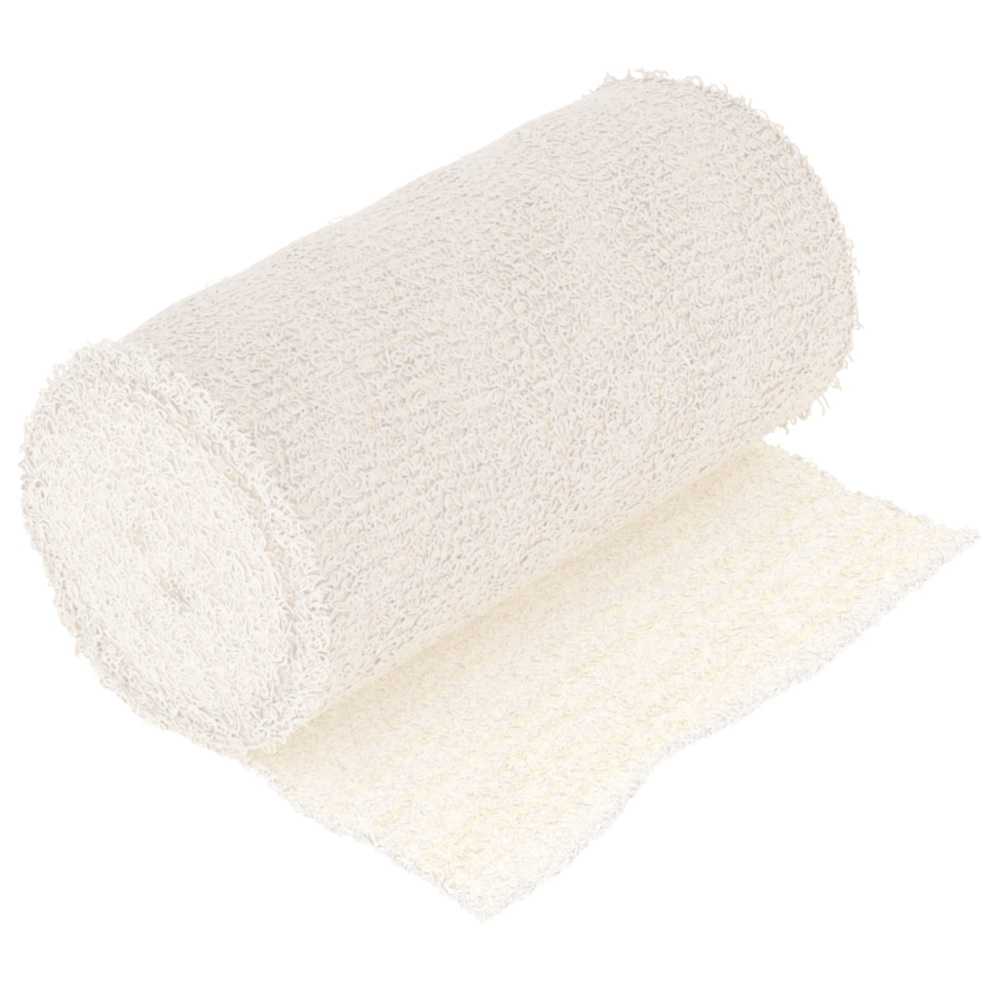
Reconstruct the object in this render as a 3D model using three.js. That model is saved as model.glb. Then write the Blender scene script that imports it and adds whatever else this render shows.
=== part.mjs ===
// Crepe bandage roll: one strip of crepe wound up, with the last stretch of its outer turn lying loose.
// Millimetres, +Z up. The roll's axis runs along +Y from the near end to the far end, and the loose end
// reaches towards +X. The origin is the centre of the model's box on the surface that it rests on.

import * as THREE from "three";
import { mergeVertices } from "three/addons/utils/BufferGeometryUtils.js";

// Driving dimensions
const ROLL_RADIUS = 26.7;
const ROLL_LENGTH = 100.4;
const AXIS_HEIGHT = 27.7;
const SHEET_THICKNESS = 2.0;
const GAP = 0.3;

// The winding: the outer turn starts at the joint, runs up over the top and ends a layer further in
const LAYER = SHEET_THICKNESS + GAP;
const JOINT_ANGLE = THREE.MathUtils.degToRad(200);
const UNDER_AXIS = THREE.MathUtils.degToRad(270);
const DRAWN_IN_FROM = 0.61;
const ROLL_BOTTOM = LAYER;

// Crinkles along the roll's side
const CRINKLE_POINTS = 164;
const CRINKLE_DEPTH = 0.5;
const CRINKLE_LEAN = 2.2;
const CRINKLES_END_AT = 0.74;
const SIDE_STATIONS = [5, 10, 20, 30, 40, 50, 60, 70, 80, 90, 95];

// Rounded rims and the turns that show on the two end faces
const RIM_DEPTH = 1.9;
const RIM_STEPS = [
  { inset: 0, share: 1 },
  { inset: 0.4, share: 0.45 },
];
const CREST_DEPTH = 0.3;
const TURN_POINTS = [164, 82, 82, 82, 82, 82, 41, 41, 41, 41];
const TURN_RELIEF = 0.8;
const END_BULGE = 0.9;

// What is uneven on each end: a side that stands proud, places where the outer turns have slipped in and
// slope off, a groove inside the outer turns, and pits at the core. Angles are in radians from +X, and
// places are from the axis.
const NEAR_END = {
  proud: { depth: 0.9, at: 3.4 },
  slips: [{ depth: 3.4, at: 2.25, reach: 0.75, slope: 1.5 }],
  groove: { turn: 1, depth: 1.4, from: -0.7, to: 1.75, blend: 0.35 },
  pits: [
    { x: -3.2, z: 1.9, depth: 1.5, width: 2.0 },
    { x: 2.5, z: -4.2, depth: 2.2, width: 2.4 },
    { x: -3.9, z: -10.7, depth: 0.8, width: 1.8 },
  ],
};
const FAR_END = {
  proud: { depth: 1.0, at: 0.25 },
  slips: [
    { depth: 1.6, at: 1.8, reach: 0.6, slope: 0.7 },
    { depth: 2.6, at: -0.85, reach: 0.4, slope: 0.8 },
  ],
  groove: { turn: 2, depth: 0.7, from: 0.4, to: 2.4, blend: 0.4 },
  pits: [
    { x: 1.2, z: -1.0, depth: 2.0, width: 2.6 },
    { x: -6.5, z: 4.0, depth: 0.7, width: 2.0 },
  ],
};
const SLIPS_REACH_IN_TO = 15;
const SLOPE_LENGTH = 20;

// The loose end: ribs across it, given by where each crest meets the near and the far selvedge
const RIB_HALF_WIDTH = 0.9;
const RIBS = [
  { near: 11.6, far: 11.2, height: 0.3 },
  { near: 15.4, far: 14.6, height: 0.35 },
  { near: 19.4, far: 17.9, height: 0.4 },
  { near: 25.6, far: 21.6, height: 0.35 },
  { near: 33.4, far: 25.4, height: 0.6 },
  { near: 38.0, far: 29.8, height: 0.5 },
  { near: 41.8, far: 35.2, height: 0.55 },
  { near: 44.8, far: 39.8, height: 0.6 },
  { near: 48.0, far: 43.8, height: 0.45 },
];

// Both selvedges, by the distance along the sheet from under the axis
const SELVEDGES = [
  { along: -34, near: 0.2, far: 99.4 },
  { along: -16, near: -0.3, far: 99.6 },
  { along: -6, near: -0.2, far: 99.6 },
  { along: 0, near: 0.5, far: 99.8 },
  { along: 9, near: 1.5, far: 99.9 },
  { along: 13, near: 1.6, far: 100.9 },
  { along: 17, near: 0.2, far: 100.5 },
  { along: 22, near: -0.9, far: 100.0 },
  { along: 27, near: -1.0, far: 98.4 },
  { along: 33, near: 0.2, far: 99.2 },
  { along: 38, near: -0.3, far: 98.9 },
  { along: 43, near: -0.4, far: 99.3 },
  { along: 48, near: -0.7, far: 99.9 },
  { along: 53, near: -1.5, far: 99.9 },
];

// The cut end, with its shallow notch
const CUT_END = [
  { y: 0, x: 54.4 },
  { y: 14, x: 54.2 },
  { y: 23, x: 52.7 },
  { y: 29, x: 50.9 },
  { y: 34, x: 49.3 },
  { y: 40, x: 49.1 },
  { y: 46, x: 50.2 },
  { y: 57, x: 50.6 },
  { y: 64, x: 51.4 },
  { y: 69, x: 50.5 },
  { y: 75, x: 50.2 },
  { y: 82, x: 49.2 },
  { y: 90, x: 48.6 },
  { y: 95, x: 49.0 },
  { y: 100, x: 49.4 },
];
const FRAY = 0.35;
const EDGE_ROUND = 0.6;
const COLUMN_ROOM = 0.75;
const WRAP_COLUMNS = 16;
const WRAP_SLACK = 0.9;
const TOP_STATIONS = 24;
const UNDERSIDE_STATIONS = 12;
const CORNER_LIFT = { height: 1.2, fromX: 42, toX: 50, fromY: 86, toY: 99 };

const { clamp, lerp, smoothstep } = THREE.MathUtils;

// Straight-line reading of a table at one column's value
function readTable(table, key, at, column) {
  const next = table.findIndex((row) => row[key] >= at);
  if (next === 0) return table[0][column];
  if (next < 0) return table.at(-1)[column];
  const [a, b] = [table[next - 1], table[next]];
  return lerp(a[column], b[column], (at - a[key]) / (b[key] - a[key]));
}

// Surface joining two rows of points that run the same way, whatever their counts
function joinRows(faces, first, second, flip = false) {
  const add = (a, b, c) => {
    if (a.distanceTo(b) < GAP / 10 || b.distanceTo(c) < GAP / 10 || c.distanceTo(a) < GAP / 10) return;
    faces.push(...(flip ? [a, b, c] : [a, c, b]));
  };
  const [lastFirst, lastSecond] = [first.length - 1, second.length - 1];
  let [i, j] = [0, 0];
  while (i < lastFirst || j < lastSecond) {
    const firstIsBehind = (i + 1) * lastSecond <= (j + 1) * lastFirst;
    if (j === lastSecond || (i < lastFirst && firstIsBehind)) {
      add(first[i], first[i + 1], second[j]);
      i += 1;
    } else {
      add(first[i], second[j + 1], second[j]);
      j += 1;
    }
  }
}

function closedGeometry(faces) {
  const geometry = new THREE.BufferGeometry().setFromPoints(faces);
  const merged = mergeVertices(geometry, GAP / 100);
  merged.computeVertexNormals();
  return merged;
}

// The roll's outline: share runs from 0 at the joint to 1 after one whole turn
function turnAngle(share) {
  return JOINT_ANGLE - 2 * Math.PI * share;
}

function spiralRadius(share) {
  const drawnIn = clamp((share - DRAWN_IN_FROM) / (1 - DRAWN_IN_FROM), 0, 1);
  return ROLL_RADIUS - LAYER * drawnIn ** 2;
}

function outlineRadius(share) {
  const down = -Math.sin(turnAngle(share));
  const flat = down > 0 ? (AXIS_HEIGHT - ROLL_BOTTOM) / down : ROLL_RADIUS;
  return Math.min(spiralRadius(share), flat);
}

function rollPoint(radius, angle, y) {
  return new THREE.Vector3(radius * Math.cos(angle), y, AXIS_HEIGHT + radius * Math.sin(angle));
}

// How near an angle lies to a slip's middle, from 0 to 1
function slipShare(slip, angle) {
  const turned = Math.atan2(Math.sin(angle - slip.at), Math.cos(angle - slip.at)) / slip.reach;
  return Math.exp(-(turned ** 2));
}

// How far the side slopes off towards the ends, where their outer turns have slipped in
function sideSlope(angle, y) {
  let slope = 0;
  for (const [end, away] of [[NEAR_END, y], [FAR_END, ROLL_LENGTH - y]]) {
    const nearness = clamp(1 - away / SLOPE_LENGTH, 0, 1) ** 2;
    for (const slip of end.slips) slope += slip.slope * slipShare(slip, angle) * nearness;
  }
  return slope;
}

// One row of points round the side, with a crest and a trough in turn; yAt gives its place at an angle
function sideRow(inset, yAt) {
  const row = [];
  for (let i = 0; i <= CRINKLE_POINTS; i += 1) {
    const even = i / CRINKLE_POINTS;
    const y = yAt(turnAngle(even));
    const along = (Math.PI * y) / ROLL_LENGTH;
    const sway = Math.sin(3 * along + 9 * even) * Math.sin(along) * Math.sin(Math.PI * even) ** 2;
    const share = even + (CRINKLE_LEAN * sway) / CRINKLE_POINTS;
    const fade = 1 - smoothstep(even, CRINKLES_END_AT - 0.08, CRINKLES_END_AT);
    const uneven = 0.7 + 0.3 * Math.sin(1.9 * i + y / 9);
    const trough = i % 2 === 1 ? CRINKLE_DEPTH * uneven * fade : 0;
    const angle = turnAngle(share);
    row.push(rollPoint(outlineRadius(share) - inset - trough - sideSlope(angle, y), angle, y));
  }
  return row;
}

// How far one end's plane lies inside the roll's end at a point: less where it is proud, more at a slip
function planeDepth(end, radius, angle) {
  const out = smoothstep(radius, SLIPS_REACH_IN_TO, ROLL_RADIUS) ** 2;
  const proud = end.proud.depth * Math.cos(angle - end.proud.at) * (radius / ROLL_RADIUS);
  return end.slips.reduce((depth, slip) => depth + slip.depth * slipShare(slip, angle) * out, -proud);
}

// How far a point of an end face lies inside the roll's end
function endDepth(end, radius, angle, turn, isTrough) {
  const [x, z] = [radius * Math.cos(angle), radius * Math.sin(angle)];
  let depth = CREST_DEPTH - END_BULGE * (1 - (radius / ROLL_RADIUS) ** 2) + planeDepth(end, radius, angle);
  if (isTrough) depth += TURN_RELIEF;
  if (isTrough && turn === end.groove.turn) {
    const { from, to, blend } = end.groove;
    const turned = Math.atan2(z, x);
    const into = smoothstep(turned, from - blend, from + blend);
    const out = smoothstep(turned, to - blend, to + blend);
    depth += end.groove.depth * into * (1 - out);
  }
  for (const pit of end.pits) {
    const away = Math.hypot(x - pit.x, z - pit.z) / pit.width;
    depth += pit.depth * Math.exp(-(away ** 2));
  }
  return depth;
}

// The crest or the trough of one turn on an end face, as a row that ends where the next turn begins
function turnRow(end, turn, isTrough, place) {
  const count = TURN_POINTS[turn];
  const inset = LAYER * (turn + (isTrough ? 1 : 0.5));
  const row = [];
  for (let i = 0; i <= count; i += 1) {
    const angle = turnAngle(i / count);
    const wound = spiralRadius(i / count) - inset;
    const radius = wound * (1 - sideSlope(angle, place(0)) / ROLL_RADIUS);
    const windingTurn = i === count ? turn + 1 : turn;
    row.push(rollPoint(radius, angle, place(endDepth(end, radius, angle, windingTurn, isTrough))));
  }
  return row;
}

// One end of the roll, from its side to its core; place turns a depth into a Y
function endFace(faces, end, place, flip) {
  const rows = RIM_STEPS.map(({ inset, share }) => (
    sideRow(inset, (angle) => place(share * RIM_DEPTH + planeDepth(end, ROLL_RADIUS, angle)))
  ));
  TURN_POINTS.forEach((count, turn) => {
    rows.push(turnRow(end, turn, false, place));
    if (turn < TURN_POINTS.length - 1) rows.push(turnRow(end, turn, true, place));
  });
  for (let i = 0; i + 1 < rows.length; i += 1) joinRows(faces, rows[i], rows[i + 1], flip);

  // The core: the last turn closes on its middle, past the two rows that end beside its start
  const [lastTrough, lastCrest] = rows.slice(-2);
  const core = rollPoint(0, 0, place(endDepth(end, 0, 0, 0, false)));
  const inner = [lastCrest[0], lastTrough.at(-1), lastCrest.at(-1), core];
  for (let i = 0; i + 1 < inner.length; i += 1) {
    joinRows(faces, [lastCrest[1]], [inner[i], inner[i + 1]], flip);
  }
  for (let i = 1; i + 1 < lastCrest.length; i += 1) {
    joinRows(faces, [lastCrest[i], lastCrest[i + 1]], [core], flip);
  }

  // The step where the outer turn starts, beside the rim of the turn under it
  const [side, rim, crest, trough] = rows;
  joinRows(faces, [side.at(-1), rim.at(-1)], [side[0], rim[0]], !flip);
  joinRows(faces, [rim.at(-1), crest.at(-1)], [rim[0], crest[0], trough[0], crest.at(-1)], !flip);
  return side;
}

function woundRoll() {
  const faces = [];
  const nearSide = endFace(faces, NEAR_END, (depth) => depth, false);
  const farSide = endFace(faces, FAR_END, (depth) => ROLL_LENGTH - depth, true);
  let before = nearSide;
  for (const row of [...SIDE_STATIONS.map((y) => sideRow(0, () => y)), farSide]) {
    joinRows(faces, row, before);
    joinRows(faces, [row.at(-1), row[0]], [before.at(-1), before[0]]);
    before = row;
  }
  return closedGeometry(faces);
}

// The columns of the loose end: round the roll first, then a foot, a crest and a foot for each rib
function looseColumns() {
  const columns = [];
  const startAngle = JOINT_ANGLE + GAP / ROLL_RADIUS;
  for (let i = 0; i < WRAP_COLUMNS; i += 1) {
    columns.push({ angle: lerp(startAngle, UNDER_AXIS, i / WRAP_COLUMNS) });
  }
  for (const x of [0, 3, 6, 9]) columns.push({ near: x, far: x, rise: 0 });
  RIBS.forEach((rib, i) => {
    for (const side of [-1, 0, 1]) {
      const shift = side * RIB_HALF_WIDTH;
      columns.push({ near: rib.near + shift, far: rib.far + shift, rise: side === 0 ? rib.height : 0 });
    }
    const next = RIBS[i + 1];
    const room = next ? next.near - rib.near : 0;
    const between = Math.max(0, Math.round(room / 2.2) - 1);
    for (let k = 1; k <= between; k += 1) {
      const share = lerp(RIB_HALF_WIDTH, room - RIB_HALF_WIDTH, k / (between + 1)) / room;
      const [near, far] = [lerp(rib.near, next.near, share), lerp(rib.far, next.far, share)];
      columns.push({ near, far, rise: 0.12 * (k % 2) });
    }
  });
  columns.push({ edge: 2.2, rise: 0.3 }, { edge: EDGE_ROUND, rise: 0 });
  return columns;
}

function cutEnd(y) {
  const fray = FRAY * Math.sin(1.37 * y) * Math.cos(0.61 * y);
  return readTable(CUT_END, "y", y, "x") + fray;
}

// The sheet's upper and lower points where a column crosses a station
function loosePair(columns, index, share) {
  const column = columns[index];
  const about = share * ROLL_LENGTH;
  if (column.angle !== undefined) {
    const turned = (JOINT_ANGLE + 2 * Math.PI - column.angle) / (2 * Math.PI);
    const wrapped = (column.angle - JOINT_ANGLE) / (UNDER_AXIS - JOINT_ANGLE);
    const inside = outlineRadius(turned) + GAP + WRAP_SLACK * Math.sin(Math.PI * wrapped) ** 2;
    const along = (column.angle - UNDER_AXIS) * inside;
    const y = lerp(readTable(SELVEDGES, "along", along, "near"), readTable(SELVEDGES, "along", along, "far"), share);
    const upper = rollPoint(inside, column.angle, y);
    const lower = rollPoint(inside + SHEET_THICKNESS, column.angle, y);
    upper.z = Math.max(upper.z, SHEET_THICKNESS);
    lower.z = Math.max(lower.z, 0);
    return { upper, lower };
  }
  const room = COLUMN_ROOM * (columns.length - index);
  const edge = cutEnd(about);
  const x = column.edge !== undefined
    ? edge - column.edge
    : Math.min(lerp(column.near, column.far, share), edge - EDGE_ROUND - room);
  const y = lerp(readTable(SELVEDGES, "along", x, "near"), readTable(SELVEDGES, "along", x, "far"), share);
  const lift = CORNER_LIFT.height
    * smoothstep(x, CORNER_LIFT.fromX, CORNER_LIFT.toX)
    * smoothstep(y, CORNER_LIFT.fromY, CORNER_LIFT.toY);
  const uneven = 0.75 + 0.25 * Math.sin(y / 7 + 2 * index);
  const upper = new THREE.Vector3(x, y, SHEET_THICKNESS + lift + column.rise * uneven);
  const lower = new THREE.Vector3(x, y, lift);
  return { upper, lower };
}

function looseEnd() {
  const columns = looseColumns();
  const upperRows = [];
  const lowerRows = [];
  const nearEdge = [];
  const farEdge = [];
  columns.forEach((column, index) => {
    const upper = [];
    const lower = [];
    for (let j = 0; j <= TOP_STATIONS; j += 1) upper.push(loosePair(columns, index, j / TOP_STATIONS).upper);
    for (let j = 0; j <= UNDERSIDE_STATIONS; j += 1) {
      lower.push(loosePair(columns, index, j / UNDERSIDE_STATIONS).lower);
    }
    nearEdge.push(upper[0].clone().lerp(lower[0], 0.5));
    farEdge.push(upper.at(-1).clone().lerp(lower.at(-1), 0.5));
    for (const row of [upper, lower]) {
      row[0].y += EDGE_ROUND;
      row.at(-1).y -= EDGE_ROUND;
    }
    upperRows.push(upper);
    lowerRows.push(lower);
  });

  const faces = [];
  const upperAll = upperRows.map((row, c) => [nearEdge[c], ...row, farEdge[c]]);
  const lowerAll = lowerRows.map((row, c) => [nearEdge[c], ...row, farEdge[c]]);
  for (let c = 0; c + 1 < columns.length; c += 1) {
    joinRows(faces, upperAll[c], upperAll[c + 1]);
    joinRows(faces, lowerAll[c], lowerAll[c + 1], true);
  }

  // The face at the joint, and the rounded cut edge
  joinRows(faces, lowerAll[0], upperAll[0]);
  const rounded = lowerRows.at(-1).map((point, j) => {
    const about = (j / UNDERSIDE_STATIONS) * ROLL_LENGTH;
    return new THREE.Vector3(cutEnd(about), point.y, point.z + SHEET_THICKNESS / 2);
  });
  const cutEdge = [nearEdge.at(-1), ...rounded, farEdge.at(-1)];
  joinRows(faces, upperAll.at(-1), cutEdge);
  joinRows(faces, cutEdge, lowerAll.at(-1));
  return closedGeometry(faces);
}

const rollYarn = new THREE.MeshStandardMaterial({ color: 0xe9e2da, roughness: 0.95, metalness: 0 });
const looseYarn = new THREE.MeshStandardMaterial({ color: 0xf3ecdd, roughness: 0.95, metalness: 0 });

const roll = new THREE.Mesh(woundRoll(), rollYarn);
roll.name = "wound_roll";
const loose = new THREE.Mesh(looseEnd(), looseYarn);
loose.name = "loose_end";

const bandage = new THREE.Group();
bandage.add(roll, loose);
const box = new THREE.Box3().setFromObject(bandage);
const middle = box.getCenter(new THREE.Vector3());
bandage.position.set(-middle.x, -middle.y, -box.min.z);
bandage.updateMatrixWorld(true);

export default bandage;
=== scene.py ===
"""Crepe bandage roll: the looks of its wound roll and its loose end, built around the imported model.

The roll and the loose end each have a body mesh in their solid's form, and a pile of curled yarn on it.
Lengths are in metres: a size is written as millimetres times MM, and a density as curls on a square
millimetre times PER_MM2.
"""

import logging
import math
from collections.abc import Callable, Iterator
from dataclasses import dataclass, field
from enum import Enum
from functools import cached_property, partial

import bmesh
import bpy
import numpy as np
from mathutils import Matrix, Vector


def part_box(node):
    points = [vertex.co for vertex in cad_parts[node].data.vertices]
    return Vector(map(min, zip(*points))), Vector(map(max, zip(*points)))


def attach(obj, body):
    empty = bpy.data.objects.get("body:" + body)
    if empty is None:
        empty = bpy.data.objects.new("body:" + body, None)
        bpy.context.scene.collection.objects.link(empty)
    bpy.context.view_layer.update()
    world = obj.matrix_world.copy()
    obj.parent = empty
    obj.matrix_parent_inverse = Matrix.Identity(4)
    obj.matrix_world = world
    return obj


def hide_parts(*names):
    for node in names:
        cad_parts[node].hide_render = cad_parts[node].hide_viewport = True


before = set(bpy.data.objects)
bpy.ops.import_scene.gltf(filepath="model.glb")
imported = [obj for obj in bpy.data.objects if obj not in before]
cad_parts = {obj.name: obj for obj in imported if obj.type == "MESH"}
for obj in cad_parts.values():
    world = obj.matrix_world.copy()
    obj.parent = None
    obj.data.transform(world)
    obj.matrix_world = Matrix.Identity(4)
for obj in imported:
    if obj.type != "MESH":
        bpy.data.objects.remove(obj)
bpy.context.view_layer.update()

MM = 0.001
PER_MM2 = 1e6
LOG = logging.getLogger("bandage")
Array = np.ndarray
Rng = np.random.Generator
Table = tuple[tuple[float, ...], ...]
Span = tuple[float, float]
Colour = tuple[float, float, float]


def smooth(value: Array, low: float, high: float) -> Array:
    """Rise smoothly from 0 to 1 between two values.

    Args:
        value: Where to read the rise.
        low: Where it leaves 0.
        high: Where it reaches 1.

    Returns:
        The rise, as an array like value.
    """
    share = np.clip((np.asarray(value, float) - low) / (high - low), 0.0, 1.0)
    return share * share * (3.0 - 2.0 * share)


def bell(angle: Array, at: float, reach: float) -> Array:
    """Give a bump round one angle, 1 at its middle.

    Args:
        angle: Angles in radians.
        at: The bump's middle.
        reach: Its half width.

    Returns:
        The bump's height at each angle.
    """
    turned = np.arctan2(np.sin(angle - at), np.cos(angle - at)) / reach
    return np.exp(-turned ** 2)


def read_table(table: Table, at: Array, column: int) -> Array:
    """Read one column of a table of millimetres by its first column.

    Args:
        table: Rows, rising in their first column.
        at: Places in metres.
        column: Which column to read.

    Returns:
        The column's values in metres.
    """
    rows = np.array(table)
    return np.interp(np.asarray(at, float) / MM, rows[:, 0], rows[:, column]) * MM


@dataclass(frozen=True)
class Slip:
    """A place on an end where the outer turns have slipped in and the side slopes off."""

    depth: float
    at: float
    reach: float
    slope: float


@dataclass(frozen=True)
class Pit:
    """A hollow in an end face, placed from the axis."""

    x: float
    z: float
    depth: float
    width: float


@dataclass(frozen=True)
class Groove:
    """A gap between two turns on an end face, over part of the way round."""

    radius: float
    depth: float
    width: float
    start: float
    stop: float


@dataclass(frozen=True)
class RollEnd:
    """What is uneven on one end of the roll, at angles in radians from +X, seen from the near end."""

    proud_depth: float
    proud_at: float
    slips: tuple[Slip, ...]
    pits: tuple[Pit, ...]
    groove: Groove


NEAR_END = RollEnd(
    proud_depth=0.9 * MM,
    proud_at=3.4,
    slips=(Slip(3.4 * MM, 2.25, 0.75, 1.5 * MM),),
    pits=(
        Pit(-3.2 * MM, 1.9 * MM, 1.1 * MM, 2.0 * MM),
        Pit(2.5 * MM, -4.2 * MM, 1.6 * MM, 2.4 * MM),
        Pit(-3.9 * MM, -10.7 * MM, 0.7 * MM, 1.8 * MM),
    ),
    groove=Groove(22.1 * MM, 1.5 * MM, 0.9 * MM, -0.7, 1.75),
)
FAR_END = RollEnd(
    proud_depth=1.0 * MM,
    proud_at=0.25,
    slips=(Slip(1.6 * MM, 1.8, 0.6, 0.7 * MM), Slip(2.6 * MM, -0.85, 0.4, 0.8 * MM)),
    pits=(
        Pit(1.2 * MM, -1.0 * MM, 2.0 * MM, 2.6 * MM),
        Pit(-6.5 * MM, 4.0 * MM, 0.7 * MM, 2.0 * MM),
    ),
    groove=Groove(19.8 * MM, 0.7 * MM, 0.9 * MM, 0.4, 2.4),
)


class Face(Enum):
    """Which end of the roll a piece belongs to."""

    NEAR = -1
    FAR = 1


@dataclass(frozen=True)
class Winding:
    """The form of the wound strip, as its solid has it, placed by the solid's box."""

    radius: float = 26.7 * MM
    length: float = 100.4 * MM
    layer: float = 2.3 * MM
    proud_past_box: float = 0.83 * MM
    joint_angle: float = math.radians(200.0)
    under_axis: float = math.radians(270.0)
    drawn_in_from: float = 0.61
    crest_depth: float = 0.3 * MM
    end_bulge: float = 0.9 * MM
    slips_reach_in_to: float = 15.0 * MM
    slope_length: float = 20.0 * MM
    groove_fade: float = 0.35
    crinkles: int = 82
    crinkle_depth: float = 0.52 * MM
    wander: float = 2.2
    sways: Table = ((0.3, 13.0, 40.0), (0.16, 29.0, -70.0))
    uneven_depth: float = 0.35

    @cached_property
    def low(self) -> Vector:
        """Return the lowest corner of the roll's solid."""
        return Vector(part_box("wound_roll")[0])

    @cached_property
    def high(self) -> Vector:
        """Return the highest corner of the roll's solid."""
        return Vector(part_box("wound_roll")[1])

    @cached_property
    def axis_x(self) -> float:
        """Return the X of the roll's axis."""
        return self.high.x - self.radius

    @cached_property
    def axis_z(self) -> float:
        """Return the height of the roll's axis."""
        return self.high.z - self.radius

    @cached_property
    def near_y(self) -> float:
        """Return the Y of the near end's plane."""
        return self.low.y + self.proud_past_box

    def angle(self, share: Array) -> Array:
        """Return the angle at a share of the outer turn, from the joint over the top."""
        return self.joint_angle - 2.0 * math.pi * np.asarray(share, float)

    def share(self, angle: Array) -> Array:
        """Return the share of the outer turn at an angle."""
        return np.mod((self.joint_angle - np.asarray(angle, float)) / (2.0 * math.pi), 1.0)

    def outline(self, share: Array) -> Array:
        """Give the roll's radius round its outer turn, with its flat spot.

        Args:
            share: Shares of the turn, 0 to 1.

        Returns:
            Radii in metres.
        """
        past = np.asarray(share, float) - self.drawn_in_from
        drawn_in = np.clip(past / (1.0 - self.drawn_in_from), 0.0, 1.0)
        radius = self.radius - self.layer * drawn_in ** 2
        down = -np.sin(self.angle(share))
        flat = np.where(down > 0.1, (self.axis_z - self.low.z) / np.maximum(down, 0.1), self.radius)
        return np.minimum(radius, flat)

    def side_slope(self, angle: Array, along: Array) -> Array:
        """Give how far the side slopes off near the ends, where the outer turns slipped in.

        Args:
            angle: Angles round the axis.
            along: Distances from the near end's plane.

        Returns:
            Depths under the side's own form.
        """
        slope = np.zeros(np.broadcast(angle, along).shape)
        for end, away in ((NEAR_END, along), (FAR_END, self.length - np.asarray(along, float))):
            nearness = np.clip(1.0 - away / self.slope_length, 0.0, 1.0) ** 2
            for slip in end.slips:
                slope = slope + slip.slope * bell(angle, slip.at, slip.reach) * nearness
        return slope

    def crinkle_phase(self, angle: Array, along: Array) -> Array:
        """Give how far round its wave a crinkle is: 0 at a crest, pi in a trough.

        Args:
            angle: Angles round the axis.
            along: Distances from the near end's plane.

        Returns:
            Phases in radians.
        """
        share = self.share(angle)
        wave = np.pi * np.asarray(along, float) / self.length
        sway = self.wander * np.sin(3.0 * wave + 9.0 * share) * np.sin(wave) * np.sin(np.pi * share) ** 2
        for size, on_length, on_turn in self.sways:
            sway = sway + size * np.sin(on_length * wave + on_turn * share)
        return 2.0 * np.pi * (self.crinkles * share - 0.5 * sway)

    def crinkle(self, angle: Array, along: Array) -> Array:
        """Give the height of the crinkles along the side, from a trough to a crest.

        Args:
            angle: Angles round the axis.
            along: Distances from the near end's plane.

        Returns:
            Heights over the deepest trough.
        """
        wave, share = np.pi * np.asarray(along, float) / self.length, self.share(angle)
        uneven = np.sin(9.0 * wave + 31.0 * share) * np.sin(17.0 * share + 1.0)
        uneven = 1.0 - self.uneven_depth + self.uneven_depth * uneven
        return self.crinkle_depth * 0.5 * (1.0 + np.cos(self.crinkle_phase(angle, along))) * uneven

    def end_depth(self, face: Face, radius: Array, angle: Array) -> Array:
        """Give how far a point of an end face lies inside the roll's end.

        Args:
            face: Which end.
            radius: Distances from the axis.
            angle: Angles in radians.

        Returns:
            Depths in metres, less than 0 where the end stands proud.
        """
        end = NEAR_END if face is Face.NEAR else FAR_END
        out = smooth(radius, self.slips_reach_in_to, self.radius) ** 2
        depth = self.crest_depth - self.end_bulge * (1.0 - (radius / self.radius) ** 2)
        depth = depth - end.proud_depth * np.cos(angle - end.proud_at) * (radius / self.radius)
        for slip in end.slips:
            depth = depth + slip.depth * bell(angle, slip.at, slip.reach) * out
        groove = end.groove
        turned = np.arctan2(np.sin(angle), np.cos(angle))
        fade = self.groove_fade
        window = smooth(turned, groove.start - fade, groove.start + fade)
        window = window * (1.0 - smooth(turned, groove.stop - fade, groove.stop + fade))
        depth = depth + groove.depth * window * np.exp(-(((radius - groove.radius) / groove.width) ** 2))
        for pit in end.pits:
            away = np.hypot(radius * np.cos(angle) - pit.x, radius * np.sin(angle) - pit.z) / pit.width
            depth = depth + pit.depth * np.exp(-(away ** 2))
        return depth

    def end_y(self, face: Face, depth: Array) -> Array:
        """Return the Y of a depth inside one end."""
        return self.near_y + depth if face is Face.NEAR else self.near_y + self.length - depth

    def side_y(self, along: Array, near_depth: Array, far_depth: Array) -> Array:
        """Return the Y of a distance along the side, once both ends are pressed in."""
        far = along / self.length
        return self.near_y + along + near_depth * (1.0 - far) - far_depth * far

    def place(self, radius: Array, angle: Array, y: Array) -> Array:
        """Return points at a radius and angle round the axis, as rows of X, Y and Z."""
        radius, angle, y = np.broadcast_arrays(radius, angle, y)
        return np.stack([self.axis_x + radius * np.cos(angle), y, self.axis_z + radius * np.sin(angle)], -1)

    @staticmethod
    def round_axis(angle: Array) -> tuple[Array, Array]:
        """Give the ways out from the axis and on round it.

        Args:
            angle: Angles round the axis.

        Returns:
            Rows of X, Y and Z, for the way out and for the way on.
        """
        flat = 0 * angle
        outward = np.stack([np.cos(angle), flat, np.sin(angle)], -1)
        return outward, np.stack([-np.sin(angle), flat, np.cos(angle)], -1)


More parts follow.
